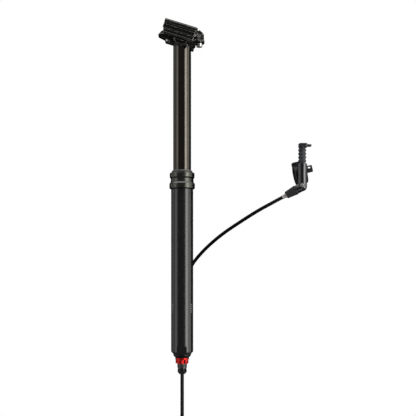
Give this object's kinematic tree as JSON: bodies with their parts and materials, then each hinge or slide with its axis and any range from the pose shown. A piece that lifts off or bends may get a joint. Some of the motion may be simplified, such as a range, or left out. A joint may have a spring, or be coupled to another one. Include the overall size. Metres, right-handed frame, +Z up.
{
  "type": "dropper seatpost",
  "caption": "Hydraulic dropper seatpost with a two-bolt saddle rail clamp, a plunger remote and its coiled hose.",
  "frame": {"origin": "On the post's axis at the collar's lower face, where the frame's seat clamp stops.", "axes": "+Z up the post's axis towards the saddle, +X to the front of the bicycle, +Y to its left side."},
  "size_m": [0.2176, 0.114, 0.6477],
  "materials": {
    "dark_coat": "satin",
    "black_metal": "satin",
    "forged_black": "satin",
    "brown_anodised": "polished anodised",
    "plain_aluminium": "machined",
    "red_anodised": "satin anodised",
    "bright_steel": "bright",
    "dark_steel": "black oxide",
    "hard_shaft": "polished",
    "brass_keys": "bare",
    "seal_rubber": "satin",
    "boot_rubber": "matt",
    "bushing_plastic": "matt",
    "black_gloss": "gloss",
    "hose_jacket": "gloss",
    "black_nylon": "matt"
  },
  "bodies": {
    "lower_post": {"lower_tube": "dark_coat", "collar": "black_metal", "upper_bushing": "bushing_plastic", "wiper_seal": "seal_rubber", "foot_cap": "black_metal", "bottom_bumper": "seal_rubber", "shaft_locknut": "plain_aluminium", "cartridge_shaft": "hard_shaft", "main_piston": "plain_aluminium", "main_piston_seals": "seal_rubber", "connector_body": "dark_steel", "stem_seal": "seal_rubber", "hose_nut": "dark_steel", "hose_barb": "brass_keys", "hose_lower": "hose_jacket", "hose_coil": "hose_jacket", "hose_upper": "hose_jacket", "coil_ties": "black_nylon", "hose_ferrule": "bright_steel", "remote_body": "black_gloss", "bleed_screw": "bright_steel", "plunger_bush": "bushing_plastic", "boot": "boot_rubber", "return_spring": "bright_steel", "bar_clamp": "black_gloss", "bar_screw": "bright_steel"},
    "upper_post": {"stanchion": "brown_anodised", "guide_keys": "brass_keys", "lower_bushing": "bushing_plastic", "seal_head": "plain_aluminium", "shaft_seal": "seal_rubber", "retaining_ring": "dark_steel", "cartridge_tube": "plain_aluminium", "top_out_bumper": "seal_rubber", "crown": "forged_black", "air_valve": "brass_keys", "valve_cap": "black_metal"},
    "gas_piston": {"floating_piston": "plain_aluminium", "floating_piston_seal": "seal_rubber"},
    "poppet": {"poppet_valve": "bright_steel"},
    "release": {"release_ring": "red_anodised"},
    "rail_clamp": {"lower_cradle": "forged_black", "upper_clamp": "forged_black"},
    "front_nut": {"front_barrel_nut": "bright_steel"},
    "front_bolt": {"front_clamp_bolt": "bright_steel", "front_dome_washer": "bright_steel"},
    "rear_nut": {"rear_barrel_nut": "bright_steel"},
    "rear_bolt": {"rear_clamp_bolt": "bright_steel", "rear_dome_washer": "bright_steel"},
    "plunger": {"thumb_paddle": "black_gloss", "plunger_rod": "bright_steel", "master_piston": "plain_aluminium", "master_piston_seals": "seal_rubber"},
    "adjuster": {"speed_adjuster": "black_gloss"}
  },
  "joints": [
    {"name": "post_drop", "type": "slide", "parent": "lower_post", "child": "upper_post", "axis": [0, 0, -1], "range_m": [0, 0.17], "stiffness_N_per_m": 200, "springref_m": -0.4},
    {"name": "gas_piston_rise", "type": "slide", "parent": "upper_post", "child": "gas_piston", "axis": [0, 0, 1], "range_m": [0, 0.0589]},
    {"name": "clamp_tilt", "type": "hinge", "parent": "upper_post", "child": "rail_clamp", "pos_m": [0, 0, 0.211], "axis": [0, 1, 0], "range_deg": [-8, 2]},
    {"name": "front_nut_turn", "type": "hinge", "parent": "rail_clamp", "child": "front_nut", "pos_m": [0.02402, 0, 0.21328], "axis": [0, 1, 0], "range_deg": [-1.7, 6.5]},
    {"name": "rear_nut_turn", "type": "hinge", "parent": "rail_clamp", "child": "rear_nut", "pos_m": [-0.01911, 0, 0.22646], "axis": [0, 1, 0], "range_deg": [-0.3, 0.9]},
    {"name": "front_bolt_slide", "type": "slide", "parent": "front_nut", "child": "front_bolt", "axis": [0, 0, 1], "range_m": [-0.0034, 0.0009]},
    {"name": "rear_bolt_slide", "type": "slide", "parent": "rear_nut", "child": "rear_bolt", "axis": [0, 0, 1], "range_m": [-0.0007, 0.0027]},
    {"name": "plunger_press", "type": "slide", "parent": "lower_post", "child": "plunger", "axis": [0, 0, -1], "range_m": [0, 0.009], "stiffness_N_per_m": 1500, "springref_m": -0.006, "deforming": ["boot", "return_spring"]},
    {"name": "poppet_lift", "type": "slide", "parent": "lower_post", "child": "poppet", "axis": [0, 0, 1], "range_m": [0, 0.002]},
    {"name": "release_ring_slide", "type": "slide", "parent": "lower_post", "child": "release", "axis": [0, 0, -1], "range_m": [0, 0.002], "stiffness_N_per_m": 800, "springref_m": -0.002},
    {"name": "speed_adjuster_turn", "type": "hinge", "parent": "lower_post", "child": "adjuster", "pos_m": [0.1681, 0, 0.0041], "axis": [-0.8788, 0, -0.4772], "range_deg": [-300, 300]}
  ],
  "couplings": [
    {"joint": "gas_piston_rise", "follows": "post_drop", "ratio": 0.34602},
    {"joint": "front_nut_turn", "follows": "clamp_tilt", "ratio": -0.8015},
    {"joint": "rear_nut_turn", "follows": "clamp_tilt", "ratio": -0.1043},
    {"joint": "front_bolt_slide", "follows": "clamp_tilt", "m_per_rad": 0.02402},
    {"joint": "rear_bolt_slide", "follows": "clamp_tilt", "m_per_rad": -0.01911},
    {"joint": "poppet_lift", "follows": "plunger_press", "ratio": 0.2222}
  ]
}
